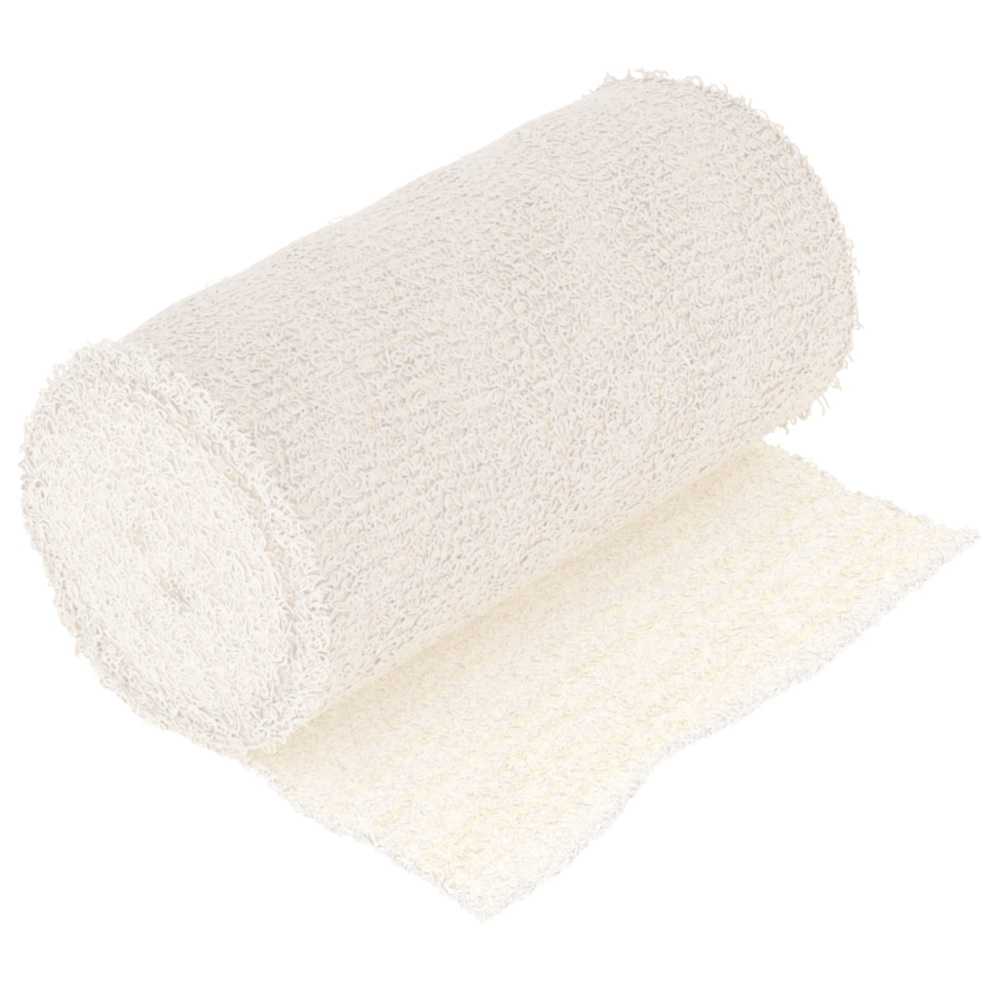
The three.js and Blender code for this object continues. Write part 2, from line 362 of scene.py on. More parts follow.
@dataclass(frozen=True)
class SheetForm:
    """The form of the loose end: round the roll's lower left, then flat on the table."""

    winding: Winding
    thickness: float = 1.5 * MM
    solid_thickness: float = 2.0 * MM
    gap: float = 0.3 * MM
    wrap_slack: float = 0.9 * MM
    rib_width: float = 0.95 * MM
    rib_scale: float = 1.25
    rib_unevenness: float = 0.25
    lift: float = 1.2 * MM
    lift_from: Span = (42.0 * MM, 86.0 * MM)
    selvedges: Table = (
        (-34, 0.2, 99.4), (-16, -0.3, 99.6), (-6, -0.2, 99.6), (0, 0.5, 99.8), (9, 1.5, 99.9),
        (13, 1.6, 100.9), (17, 0.2, 100.5), (22, -0.9, 100.0), (27, -1.0, 98.4), (33, 0.2, 99.2),
        (38, -0.3, 98.9), (43, -0.4, 99.3), (48, -0.7, 99.9), (53, -1.5, 99.9),
    )
    cut_end: Table = (
        (0, 54.4), (14, 54.2), (23, 52.7), (29, 50.9), (34, 49.3), (40, 49.1), (46, 50.2), (57, 50.6),
        (64, 51.4), (69, 50.5), (75, 50.2), (82, 49.2), (90, 48.6), (95, 49.0), (100, 49.4),
    )
    ribs: Table = (
        (11.6, 11.2, 0.3), (15.4, 14.6, 0.35), (19.4, 17.9, 0.4), (25.6, 21.6, 0.35), (33.4, 25.4, 0.6),
        (38.0, 29.8, 0.5), (41.8, 35.2, 0.55), (44.8, 39.8, 0.6), (48.0, 43.8, 0.45),
    )
    inset: float = 0.7 * MM
    flat_length: float = 50.0 * MM
    width: float = 99.0 * MM
    wave_depth: float = 0.35 * MM
    wave_length: float = 4.3 * MM
    uneven_length: float = 7.0 * MM
    full_rib: float = 0.45 * MM

    @property
    def wound_radius(self) -> float:
        """Return the radius at which distances along the wound part are measured."""
        return self.winding.radius - 1.0 * MM

    @property
    def start(self) -> float:
        """Return where the sheet starts, as a distance before the place under the axis."""
        return -(self.winding.under_axis - self.winding.joint_angle) * self.wound_radius

    def across(self, along: Array, share: Array) -> Array:
        """Give how far from the near end's plane a share of the width lies.

        Args:
            along: Distances from under the axis.
            share: Shares of the width, from the near selvedge to the far one.

        Returns:
            Distances in metres.
        """
        near = read_table(self.selvedges, along, 1) + self.inset
        far = read_table(self.selvedges, along, 2) - self.inset
        return near + (far - near) * share

    def end_at(self, across: Array) -> Array:
        """Return where the cut end lies, as a distance from under the axis."""
        return read_table(self.cut_end, across, 1) - self.inset

    def each_rib(self, along: Array, across: Array) -> Iterator[tuple[Array, Array]]:
        """Go through the ribs at some places.

        Args:
            along: Distances from under the axis.
            across: Distances from the near end's plane.

        Returns:
            For each rib, its height there, and how near the place is to its crest, from 0 to 1.
        """
        share = across / self.winding.length
        for number, (near, far, height) in enumerate(self.ribs):
            crest = (near + (far - near) * share) * MM
            crest = crest + self.wave_depth * np.sin(across / self.wave_length + 2.1 * number)
            uneven = self.rib_unevenness * np.sin(across / self.uneven_length + 2.0 * number)
            uneven = 1.0 - self.rib_unevenness + uneven
            yield self.rib_scale * height * MM * uneven, np.exp(-(((along - crest) / self.rib_width) ** 2))

    def rib_rise(self, along: Array, across: Array) -> Array:
        """Return how high the ribs stand at some places."""
        return sum(height * near for height, near in self.each_rib(along, across))

    def on_rib(self, along: Array, across: Array) -> Array:
        """Return how near some places are to a rib's crest, from 0 to 1, less on a low rib."""
        ribs = self.each_rib(along, across)
        return np.max([np.minimum(height / self.full_rib, 1.0) * near for height, near in ribs], axis=0)

    def corner_lift(self, along: Array, across: Array) -> Array:
        """Return how far the far corner curls up."""
        toward_end = smooth(along, self.lift_from[0], self.flat_length)
        return self.lift * toward_end * smooth(across, self.lift_from[1], self.width)

    def upper(self, along: Array, across: Array) -> tuple[Array, Array]:
        """Give the upper side of the sheet.

        Args:
            along: Distances from under the axis, less than 0 where the sheet is wound.
            across: Distances from the near end's plane.

        Returns:
            Points, and the directions that face out of that side.
        """
        winding = self.winding
        angle = winding.under_axis + np.minimum(along, 0.0) / self.wound_radius
        wrapped = (angle - winding.joint_angle) / (winding.under_axis - winding.joint_angle)
        wrapped = np.clip(wrapped, 0.0, 1.0)
        turn = (winding.joint_angle + 2.0 * math.pi - angle) / (2.0 * math.pi)
        inside = winding.outline(np.clip(turn, 0.0, 1.0)) + self.gap
        inside = inside + self.wrap_slack * np.sin(np.pi * wrapped) ** 2
        inside = inside + 0.5 * (self.solid_thickness - self.thickness)
        y = winding.near_y + across
        wound = winding.place(inside, angle, y)
        wound[..., 2] = np.maximum(wound[..., 2], self.thickness)
        wound[..., 0] = np.where(along > 0.0, winding.axis_x + along, wound[..., 0])
        height = self.thickness + self.rib_rise(along, across) + self.corner_lift(along, across)
        wound[..., 2] = np.where(along > 0.0, height, wound[..., 2])
        normal = np.stack(np.broadcast_arrays(-np.cos(angle), 0.0 * y, -np.sin(angle)), -1)
        return wound, normal

    def lower(self, along: Array, across: Array) -> tuple[Array, Array]:
        """Give the lower side of the sheet, which is the outer side where it is wound.

        Args:
            along: Distances from under the axis, less than 0 where the sheet is wound.
            across: Distances from the near end's plane.

        Returns:
            Points, and the directions that face out of that side.
        """
        upper, normal = self.upper(along, across)
        points = upper - normal * self.thickness
        flat = np.asarray(along) > 0.0
        points[..., 2] = np.where(flat, self.corner_lift(along, across), np.maximum(points[..., 2], 0.0))
        return points, -normal


@dataclass(frozen=True)
class CurlStyle:
    """How the curls of one area lie: their size, their height over the cloth and their shares of shapes.

    A hook turns by about half a circle, a wave bends back, a loop closes, and the rest are nearly straight.
    """

    length: float
    thickness: float
    rise: float
    root: float = 0.2 * MM
    spread: float = 0.9
    share_hook: float = 0.45
    share_wave: float = 0.25
    share_loop: float = 0.12
    steps: int = 8


@dataclass(frozen=True)
class Anchors:
    """Where curls grow: places, the direction that they mostly run, and the way out of the surface.

    Glow is how warm the painted light on a curl is, and pale is how far its depth takes the top's colour
    instead of the painted shade colour.
    """

    place: Array
    run: Array
    out: Array
    glow: Array
    pale: Array | float = 0.0


@dataclass(frozen=True)
class YarnPile:
    """Curled yarn, one joined mesh of short tubes.

    A span is what a random draw lies in, and a turn is in radians over the curl's length.
    """

    name: str
    style: CurlStyle
    rng: Rng
    share_free: float = 0.15
    slight_turn: Span = (0.6, 1.6)
    hook_turn: Span = (3.0, 5.0)
    loop_turn: Span = (5.4, 7.0)
    wave_swing: Span = (2.0, 3.2)
    wobble: Span = (0.2, 0.7)
    wobble_pace: Span = (0.8, 1.7)
    uneven_length: Span = (0.75, 1.25)
    uneven_rise: Span = (0.1, 1.1)
    uneven_thickness: Span = (0.8, 1.15)
    loop_stretch: float = 1.1
    tilt: float = 0.35
    ripple: float = 0.16
    # Painted shade is fullest at the deepest height and gone at top_share of the rise
    deepest: float = -0.25 * MM
    top_share: float = 0.55

    def flat_paths(self, count: int) -> Array:
        """Draw curls lying flat, each centred on its anchor.

        Args:
            count: How many.

        Returns:
            Their points, count by steps by 2, in metres.
        """
        style, rng = self.style, self.rng
        share = np.linspace(0.0, 1.0, style.steps)[None, :]
        kind = rng.random(count)
        hook = kind < style.share_hook
        wave = (kind >= style.share_hook) & (kind < style.share_hook + style.share_wave)
        bent = style.share_hook + style.share_wave
        loop = (kind >= bent) & (kind < bent + style.share_loop)
        turn = rng.uniform(*self.slight_turn, count)
        turn = np.where(hook, rng.uniform(*self.hook_turn, count), turn)
        turn = np.where(loop, rng.uniform(*self.loop_turn, count), turn)
        turn = turn * rng.choice([-1.0, 1.0], count)
        bend = turn[:, None] * share
        swing = rng.uniform(*self.wave_swing, count) * rng.choice([-1.0, 1.0], count)
        bend = np.where(wave[:, None], swing[:, None] * np.sin(np.pi * share) ** 2 * 1.1, bend)
        wobble = rng.uniform(*self.wobble, (count, 1)) * np.sin(
            2 * np.pi * (rng.uniform(*self.wobble_pace, (count, 1)) * share + rng.random((count, 1)))
        )
        heading = bend + wobble - 0.5 * bend[:, -1:] + rng.normal(0.0, style.spread, (count, 1))
        length = style.length * rng.uniform(*self.uneven_length, (count, 1))
        length = np.where(loop[:, None], length * self.loop_stretch, length)
        step = length / (style.steps - 1)
        moves = np.stack([step * np.cos(heading), step * np.sin(heading)], -1)
        points = np.cumsum(moves, 1)
        return points - points.mean(1, keepdims=True)

    def heights(self, count: int) -> Array:
        """Draw each curl's height over the surface along its length.

        Args:
            count: How many.

        Returns:
            Heights in metres, count by steps.
        """
        style, rng = self.style, self.rng
        share = np.linspace(0.0, 1.0, style.steps)[None, :]
        arch = np.sin(np.pi * share) ** 0.45
        top = style.rise * rng.uniform(*self.uneven_rise, (count, 1))
        tilt = rng.normal(0.0, self.tilt, (count, 1)) * style.rise * (share - 0.5)
        free = rng.random((count, 1)) < self.share_free
        lifted = np.where(free, share ** 1.3, arch)
        ripple = self.ripple * style.rise * np.sin(2 * np.pi * (1.5 * share + rng.random((count, 1))))
        return -style.root + (top + style.root) * lifted + (tilt + ripple) * arch

    def build(self, anchors: Anchors, floor: float | None = None) -> bpy.types.Object:
        """Make the pile as one mesh, with its height as a level of painted shade, its tone and its painted
        glow kept on its points.

        Args:
            anchors: Where the curls grow.
            floor: The lowest height that the yarn may reach, or None.

        Returns:
            The new object.
        """
        count = len(anchors.place)
        flat = self.flat_paths(count)
        height = self.heights(count)
        across = np.cross(anchors.out, anchors.run)
        paths = (
            anchors.place[:, None, :]
            + flat[..., 0:1] * anchors.run[:, None, :]
            + flat[..., 1:2] * across[:, None, :]
            + height[..., None] * anchors.out[:, None, :]
        )
        radius = 0.5 * self.style.thickness * self.rng.uniform(*self.uneven_thickness, (count, 1))
        radius = radius * np.ones((1, self.style.steps))
        if floor is not None:
            paths[..., 2] = np.maximum(paths[..., 2], floor + radius)
        # Painted shade: low on a curl it takes the painted shade colour, from top_share of its rise up the
        # top colour
        level = smooth(height, self.deepest, self.top_share * self.style.rise)
        level = level + (1.0 - level) * np.reshape(anchors.pale, (-1, 1))
        tone = self.rng.random((count, 1)) * np.ones_like(level)
        glow = anchors.glow[:, None] * np.ones_like(level)
        return tube_mesh(self.name, paths, radius, anchors.out, np.stack([level, tone, glow], -1))


TUBE_SIDES = 3
TUBE_FLATNESS = 0.62
# Painted shade on the tubes' lower flanks: their level is scaled by this, so they take more of the painted
# shade colour
SHADED_FLANK_LEVEL = 0.3


def tube_mesh(name: str, paths: Array, radius: Array, out: Array, marks: Array) -> bpy.types.Object:
    """Sweep closed three-sided tubes with pointed ends along paths, as one mesh.

    Args:
        name: The object's name.
        paths: Points, count by steps by 3.
        radius: Radii, count by steps.
        out: A direction for each path that it seldom runs along.
        marks: Three numbers for each point, kept as the attribute yarn.

    Returns:
        The new object.
    """
    count, steps = paths.shape[:2]
    sides = TUBE_SIDES
    ahead = np.gradient(paths, axis=1)
    ahead /= np.linalg.norm(ahead, axis=2, keepdims=True)
    side = np.cross(ahead, out[:, None, :])
    side /= np.maximum(np.linalg.norm(side, axis=2, keepdims=True), 1e-9)
    up = np.cross(side, ahead)
    turn = 2.0 * np.pi * np.arange(sides) / sides + 0.5 * np.pi
    ring = (
        np.cos(turn)[None, None, :, None] * side[:, 1:-1, None, :]
        + TUBE_FLATNESS * np.sin(turn)[None, None, :, None] * up[:, 1:-1, None, :]
    )
    rings = paths[:, 1:-1, None, :] + radius[:, 1:-1, None, None] * ring
    inner = steps - 2
    each = inner * sides + 2
    points = np.concatenate([rings.reshape(count, -1, 3), paths[:, :1], paths[:, -1:]], 1)
    ring_marks = np.repeat(marks[:, 1:-1, None, :], sides, 2)
    # Painted shade on each tube's two lower flanks
    ring_marks[:, :, 1:, 0] *= SHADED_FLANK_LEVEL
    ring_marks = ring_marks.reshape(count, -1, 3)
    point_marks = np.concatenate([ring_marks, marks[:, :1], marks[:, -1:]], 1)

    k = np.arange(inner - 1)[:, None] * sides
    i = np.arange(sides)[None, :]
    j = (i + 1) % sides
    quads = np.stack([k + i, k + j, k + sides + j, k + sides + i], -1).reshape(-1, 4)
    first = np.stack([np.full(sides, inner * sides), j[0], i[0]], -1)
    end = (inner - 1) * sides
    last = np.stack([np.full(sides, inner * sides + 1), end + i[0], end + j[0]], -1)
    triangles = np.concatenate([first, last])
    shift = (np.arange(count) * each)[:, None, None]
    quads = (quads[None] + shift).reshape(-1, 4)
    triangles = (triangles[None] + shift).reshape(-1, 3)

    mesh = bpy.data.meshes.new(name)
    mesh.vertices.add(count * each)
    mesh.vertices.foreach_set("co", points.reshape(-1).astype(np.float32))
    corners = np.concatenate([quads.reshape(-1), triangles.reshape(-1)])
    mesh.loops.add(len(corners))
    mesh.loops.foreach_set("vertex_index", corners.astype(np.int32))
    sizes = np.concatenate([np.full(len(quads), 4), np.full(len(triangles), 3)])
    mesh.polygons.add(len(sizes))
    mesh.polygons.foreach_set("loop_start", np.concatenate([[0], np.cumsum(sizes)[:-1]]).astype(np.int32))
    mesh.polygons.foreach_set("loop_total", sizes.astype(np.int32))
    mesh.polygons.foreach_set("use_smooth", np.ones(len(sizes), bool))
    mesh.update(calc_edges=True)
    keep_marks(mesh, point_marks.reshape(-1, 3))
    return in_scene(name, mesh)


def in_scene(name: str, data: bpy.types.ID) -> bpy.types.Object:
    """Put a new object in the scene.

    Args:
        name: Its name.
        data: Its mesh, lamp or camera.

    Returns:
        The object.
    """
    item = bpy.data.objects.new(name, data)
    bpy.context.scene.collection.objects.link(item)
    return item


def keep_marks(mesh: bpy.types.Mesh, marks: Array) -> None:
    """Keep numbers on a mesh's points as its yarn attribute.

    Args:
        mesh: The mesh.
        marks: Each point's level of painted shade, its tone, and its glow of painted warm light.
    """
    layer = mesh.color_attributes.new("yarn", "FLOAT_COLOR", "POINT")
    colours = np.ones((len(marks), 4), np.float32)
    colours[:, :3] = marks
    layer.data.foreach_set("color", colours.reshape(-1))


def curl_unwrap(mesh: bpy.types.Mesh, count: int, steps: int) -> None:
    """Lay the curls out on their own map, each in one cell of a square grid.

    Args:
        mesh: A pile made by tube_mesh.
        count: How many curls it holds.
        steps: How many points each has along it.
    """
    sides = TUBE_SIDES
    inner = steps - 2
    along = np.arange(inner + 1)[:, None] / (steps - 1.0)
    ring = np.arange(inner - 1)[:, None]
    side = np.arange(sides)[None, :]
    low, high = side / sides, (side + 1) / sides
    near, far = (ring + 1) / (steps - 1.0), (ring + 2) / (steps - 1.0)
    quads = np.stack(np.broadcast_arrays(near, low, near, high, far, high, far, low), -1).reshape(-1, 2)
    middle = (low + high) / 2
    first, last = along[1, 0], along[inner, 0]
    start = np.stack(np.broadcast_arrays(0.0, middle, first, high, first, low), -1).reshape(-1, 2)
    end = np.stack(np.broadcast_arrays(1.0, middle, last, low, last, high), -1).reshape(-1, 2)
    cells = int(math.ceil(math.sqrt(count)))
    corner = np.stack([np.arange(count) % cells, np.arange(count) // cells], -1)[:, None, :]
    margin = 0.06
    parts = (quads, np.concatenate([start, end]))
    inside = [corner + margin + (1.0 - 2.0 * margin) * part for part in parts]
    places = np.concatenate([(part / cells).reshape(-1, 2) for part in inside])
    layer = mesh.uv_layers.new(name="OFBake")
    layer.data.foreach_set("uv", places.reshape(-1).astype(np.float32))


def add_node(
    tree: bpy.types.NodeTree, kind: str, inputs: dict[str | int, object], **options: str
) -> bpy.types.ShaderNode:
    """Add a node to a material.

    Args:
        tree: The material's nodes and links.
        kind: The node's type, without the words ShaderNode.
        inputs: A value or another node's output for each socket, by its name or number.
        options: The node's own settings.

    Returns:
        The new node.
    """
    node = tree.nodes.new("ShaderNode" + kind)
    for option, choice in options.items():
        setattr(node, option, choice)
    for socket, value in inputs.items():
        if isinstance(value, bpy.types.NodeSocket):
            tree.links.new(value, node.inputs[socket])
        else:
            node.inputs[socket].default_value = value
    return node


@dataclass(frozen=True)
class LookWithPaintedLight:
    """The look of one part of the cloth, with painted light and shade: painted shade on its yarn in the
    depth, its yarn's own colour on top, and painted warm light where light shines through folds.
    """

    name: str
    # Painted shade: the warm colour that the yarn takes in its depths, on its flanks and between threads
    painted_shade: Colour
    top: Colour
    glow: Colour
    tone: float = 0.03
    tone_over: float = 0.4
    roughness: float = 0.92
    sheen: float = 0.08
    sheen_roughness: float = 0.6
    specular: float = 0.2
    thread_layers: Table = ((520.0, 0.0), (640.0, 2.1), (760.0, 4.4))
    thread_bend: float = 0.6
    thread_width: float = 0.11
    thread_level: float = 0.6
    bump_strength: float = 0.85
    bump_height: float = 0.3 * MM

    def material(self, marked: bool) -> bpy.types.Material:
        """Make the material.

        Args:
            marked: True for yarn that keeps its height on its points, False for the cloth under it.

        Returns:
            The new material.
        """
        material = bpy.data.materials.new(self.name)
        material.use_nodes = True
        tree = material.node_tree
        shader = tree.nodes["Principled BSDF"]
        shader.inputs["Roughness"].default_value = self.roughness
        shader.inputs["Sheen Weight"].default_value = self.sheen
        shader.inputs["Sheen Roughness"].default_value = self.sheen_roughness
        shader.inputs["Specular IOR Level"].default_value = self.specular
        marks = add_node(tree, "Attribute", {}, attribute_name="yarn")
        split = add_node(tree, "SeparateColor", {"Color": marks.outputs["Color"]})
        level = split.outputs["Red"] if marked else self.weave(tree, shader)
        # Painted shade by level, from the painted shade colour to the top colour, then painted warm light
        # by glow
        depth = self.mix(tree, level, (*self.painted_shade, 1.0), self.top)
        warm = self.mix(tree, split.outputs["Blue"], depth, self.glow)
        lightness = add_node(tree, "MapRange", {
            "Value": split.outputs["Green"],
            "To Min": 1.0 - self.tone,
            "To Max": 1.0 + self.tone_over * self.tone,
        })
        shade = add_node(tree, "HueSaturation", {"Color": warm, "Value": lightness.outputs["Result"]})
        tree.links.new(shade.outputs["Color"], shader.inputs["Base Color"])
        return material

    @staticmethod
    def mix(tree: bpy.types.NodeTree, share: object, first: object, second: Colour) -> bpy.types.NodeSocket:
        """Return the output that mixes one colour, or another node's, with a second one by a share."""
        inputs = {"A": first, "B": (*second, 1.0), "Factor": share}
        return add_node(tree, "Mix", inputs, data_type="RGBA").outputs["Result"]

    def weave(self, tree: bpy.types.NodeTree, shader: bpy.types.ShaderNode) -> bpy.types.NodeSocket:
        """Draw finer curled threads on the cloth under the pile, as bump and as a level; between the
        threads the cloth takes the painted shade colour.

        Args:
            tree: The material's nodes and links.
            shader: Its surface shader.

        Returns:
            The output that gives the level, from the painted shade colour to the top one.
        """
        place = add_node(tree, "TexCoord", {}).outputs["Object"]
        last = None
        for scale, turn in self.thread_layers:
            shift = (turn, 1.7 * turn, 0.4 * turn)
            turned = add_node(tree, "Mapping", {"Vector": place, "Location": shift})
            noise = add_node(tree, "TexNoise", {
                "Vector": turned.outputs["Vector"],
                "Scale": scale,
                "Detail": 0.0,
                "Distortion": self.thread_bend,
            })
            away = add_node(tree, "Math", {0: noise.outputs["Fac"], 1: 0.5}, operation="SUBTRACT")
            size = add_node(tree, "Math", {0: away.outputs["Value"]}, operation="ABSOLUTE")
            inputs = {"Value": size.outputs["Value"], "From Min": self.thread_width, "From Max": 0.0}
            thread = add_node(tree, "MapRange", inputs, interpolation_type="SMOOTHSTEP").outputs["Result"]
            if last is not None:
                thread = add_node(tree, "Math", {0: last, 1: thread}, operation="MAXIMUM").outputs["Value"]
            last = thread
        inputs = {"Height": last, "Strength": self.bump_strength, "Distance": self.bump_height}
        bump = add_node(tree, "Bump", inputs)
        tree.links.new(bump.outputs["Normal"], shader.inputs["Normal"])
        # Painted shade between the threads: there the level is 0, and on the threads it reaches
        # thread_level
        half = add_node(tree, "MapRange", {"Value": last, "To Max": self.thread_level})
        return half.outputs["Result"]


# One cream yarn in lit and shaded copies: roll_yarn's darker top is painted shade on the roll's side and
# the wrapped part, fringe_yarn's lighter top is painted light on the edges, and the painted shade colour is
# strongest in roll_yarn and weakest in fringe_yarn
ROLL_YARN = LookWithPaintedLight(
    "roll_yarn", painted_shade=(0.97, 0.70, 0.43), top=(0.82, 0.765, 0.742), glow=(0.95, 0.80, 0.52),
)
END_YARN = LookWithPaintedLight(
    "end_yarn", painted_shade=(0.98, 0.82, 0.62), top=(0.965, 0.915, 0.88), glow=(0.95, 0.80, 0.52),
)
LOOSE_YARN = LookWithPaintedLight(
    "loose_yarn", painted_shade=(0.96, 0.86, 0.71), top=(0.93, 0.905, 0.885), glow=(0.99, 0.83, 0.47),
)
FRINGE_YARN = LookWithPaintedLight(
    "fringe_yarn", painted_shade=(0.975, 0.94, 0.89), top=(0.975, 0.955, 0.935), glow=(0.97, 0.87, 0.66),
)


@dataclass(frozen=True)
class Patch:
    """A part of the roll's side, between two angles in degrees, and the curls per square metre on it."""

    name: str
    style: CurlStyle
    seed: int
    start: float
    stop: float
    density: float


SIDE_CURLS = CurlStyle(length=3.3 * MM, thickness=0.55 * MM, rise=0.27 * MM, steps=7)
TOP_CURLS = CurlStyle(length=3.1 * MM, thickness=0.5 * MM, rise=0.12 * MM, root=0.14 * MM, steps=7)
BACK_CURLS = CurlStyle(length=4.0 * MM, thickness=0.6 * MM, rise=0.27 * MM, steps=7)
SIDE_HAIRS = CurlStyle(length=7.5 * MM, thickness=0.2 * MM, rise=1.7 * MM, share_loop=0.4, steps=16)
NEAR_CURLS = CurlStyle(length=4.2 * MM, thickness=0.52 * MM, rise=0.25 * MM, spread=0.55, share_loop=0.08)
FAR_CURLS = CurlStyle(length=4.8 * MM, thickness=0.62 * MM, rise=0.25 * MM, spread=0.6, share_loop=0.08)
TAIL_CURLS = CurlStyle(
    length=2.3 * MM, thickness=0.54 * MM, rise=0.18 * MM, spread=1.6, share_hook=0.6, steps=7,
)
WRAP_CURLS = CurlStyle(length=3.8 * MM, thickness=0.56 * MM, rise=0.36 * MM, steps=7)
FRINGE_CURLS = CurlStyle(length=2.8 * MM, thickness=0.36 * MM, rise=0.7 * MM, root=0.4 * MM)
LOOSE_HAIRS = CurlStyle(length=8.0 * MM, thickness=0.22 * MM, rise=1.8 * MM, share_loop=0.5, steps=16)


@dataclass
class WoundRoll:
    """The roll: a body in its solid's form, with yarn on its side and both ends."""

    winding: Winding = field(default_factory=Winding)
    patches: tuple[Patch, ...] = (
        Patch("side_yarn_low", SIDE_CURLS, 11, -50.0, 20.0, 1.42 * PER_MM2),
        Patch("side_yarn_mid", SIDE_CURLS, 12, 20.0, 80.0, 1.42 * PER_MM2),
        Patch("side_yarn_top", TOP_CURLS, 13, 80.0, 138.0, 1.42 * PER_MM2),
        Patch("side_yarn_back", BACK_CURLS, 14, 138.0, 200.0, 0.82 * PER_MM2),
        Patch("side_yarn_under", SIDE_CURLS, 15, 282.0, 310.0, 0.4 * PER_MM2),
        Patch("side_hairs", SIDE_HAIRS, 16, 10.0, 150.0, 0.005 * PER_MM2),
    )
    near_density: float = 1.2 * PER_MM2
    far_density: float = 0.7 * PER_MM2
    near_chain_width: float = 1.8 * MM
    far_chain_width: float = 1.3 * MM
    inner_chain: float = 1.15 * MM
    under: float = 0.4 * MM
    corner: float = 1.1 * MM
    corner_steps: int = 4
    turns: int = 246
    side_steps: int = 42
    end_rings: int = 17
    cloth_level: float = 0.2
    rim_blend: float = 3.0 * MM
    pull: float = 0.75
    side_glow: float = 0.5
    glow_angles: Span = (-50.0, 5.0)
    # Painted shade taken off: from 50 to 110 degrees round the axis on, the curls' depths take the top
    # colour, so the upper side, back and underside carry less painted shade than the lower front
    side_pale: float = 0.6
    pale_angles: Span = (50.0, 110.0)
    bare_rim: float = 0.4 * MM
    bare_end: float = 0.25 * MM
    turn_pitch: float = 0.95 * MM
    turn_pull: float = 0.2 * MM
    bridging_share: float = 0.15
    bridging_mm: Span = (21.3, 25.9)
    bridging_rise: float = 0.45 * MM

    def profile(self) -> list[tuple[float, float]]:
        """List the points of the roll's profile, from one pole, over the side, to the other.

        Returns:
            For each point, its radius and its distance along the axis.
        """
        radius, length, corner = self.winding.radius, self.winding.length, self.corner
        flat = [(radius - corner) * step / self.end_rings for step in range(self.end_rings + 1)]
        arc = [0.5 * math.pi * step / self.corner_steps for step in range(1, self.corner_steps)]
        near = [(share, 0.0) for share in flat]
        near += [(radius - corner + corner * math.sin(a), corner - corner * math.cos(a)) for a in arc]
        pitch = (length - 2 * corner) / self.side_steps
        side = [(radius, corner + pitch * step) for step in range(self.side_steps + 1)]
        return near + side + [(r, length - y) for r, y in reversed(near)]

    def body(self) -> bpy.types.Object:
        """Spin the roll's profile round its axis, then press its points into the wound form.

        Returns:
            The new object.
        """
        mesh = bmesh.new()
        points = [mesh.verts.new((r, y, 0.0)) for r, y in self.profile()]
        edges = [mesh.edges.new(pair) for pair in zip(points, points[1:])]
        bmesh.ops.spin(
            mesh, geom=points + edges, cent=(0.0, 0.0, 0.0), axis=(0.0, 1.0, 0.0),
            angle=2.0 * math.pi, steps=self.turns, use_merge=True, use_duplicate=False,
        )
        bmesh.ops.remove_doubles(mesh, verts=mesh.verts[:], dist=1e-5 * MM)
        self.press(mesh)
        piece = finished("wound_roll_body", mesh)
        keep_marks(piece.data, np.tile([self.cloth_level, 0.5, 0.0], (len(piece.data.vertices), 1)))
        return piece

    def press(self, mesh: bmesh.types.BMesh) -> None:
        """Move the points of a plain round roll into the wound form.

        Args:
            mesh: The roll, spun round the Y axis.
        """
        winding = self.winding
        at = np.array([vert.co for vert in mesh.verts])
        radius, angle, along = np.hypot(at[:, 0], at[:, 2]), np.arctan2(at[:, 2], at[:, 0]), at[:, 1]
        share = winding.share(angle)
        outward = smooth(radius, winding.radius - self.rim_blend, winding.radius - 0.5 * self.corner)
        wound = radius * winding.outline(share) / winding.radius
        wound = wound - winding.side_slope(angle, along) * outward
        wound = wound - (self.under + winding.crinkle_depth - winding.crinkle(angle, along)) * outward
        near_depth = winding.end_depth(Face.NEAR, radius, angle) + self.under
        far_depth = winding.end_depth(Face.FAR, radius, angle) + self.under
        y = winding.side_y(along, near_depth, far_depth)
        for vert, place in zip(mesh.verts, winding.place(wound, angle, y)):
            vert.co = place

    def side_anchors(self, rng: Rng, patch: Patch) -> Anchors:
        """Scatter anchors along the crinkles of one part of the side.

        Args:
            rng: Where the scatter is drawn from.
            patch: The part of the side.

        Returns:
            The anchors.
        """
        winding = self.winding
        start, stop = math.radians(patch.start), math.radians(patch.stop)
        area = (stop - start) * winding.radius * winding.length
        count = int(area * patch.density)
        turned, far = spread_evenly(rng, count)
        angle = start + (stop - start) * turned
        along = self.bare_rim + (winding.length - 2.0 * self.bare_rim) * far
        angle = angle + self.pull * np.sin(winding.crinkle_phase(angle, along)) / winding.crinkles
        share = winding.share(angle)
        rim = np.full(count, winding.radius)
        near_depth = winding.end_depth(Face.NEAR, rim, angle)
        far_depth = winding.end_depth(Face.FAR, rim, angle)
        y = winding.side_y(along, near_depth, far_depth)
        radius = winding.outline(share) - winding.side_slope(angle, along)
        radius = radius - (self.under + winding.crinkle_depth - winding.crinkle(angle, along))
        place = winding.place(radius, angle, y)
        out, run = winding.round_axis(angle)
        glow = self.side_glow * (1.0 - smooth(angle, *map(math.radians, self.glow_angles)))
        # Less painted shade on the upper side, back and underside
        pale = self.side_pale * smooth(angle, *map(math.radians, self.pale_angles))
        return Anchors(place, run, out, glow, pale)

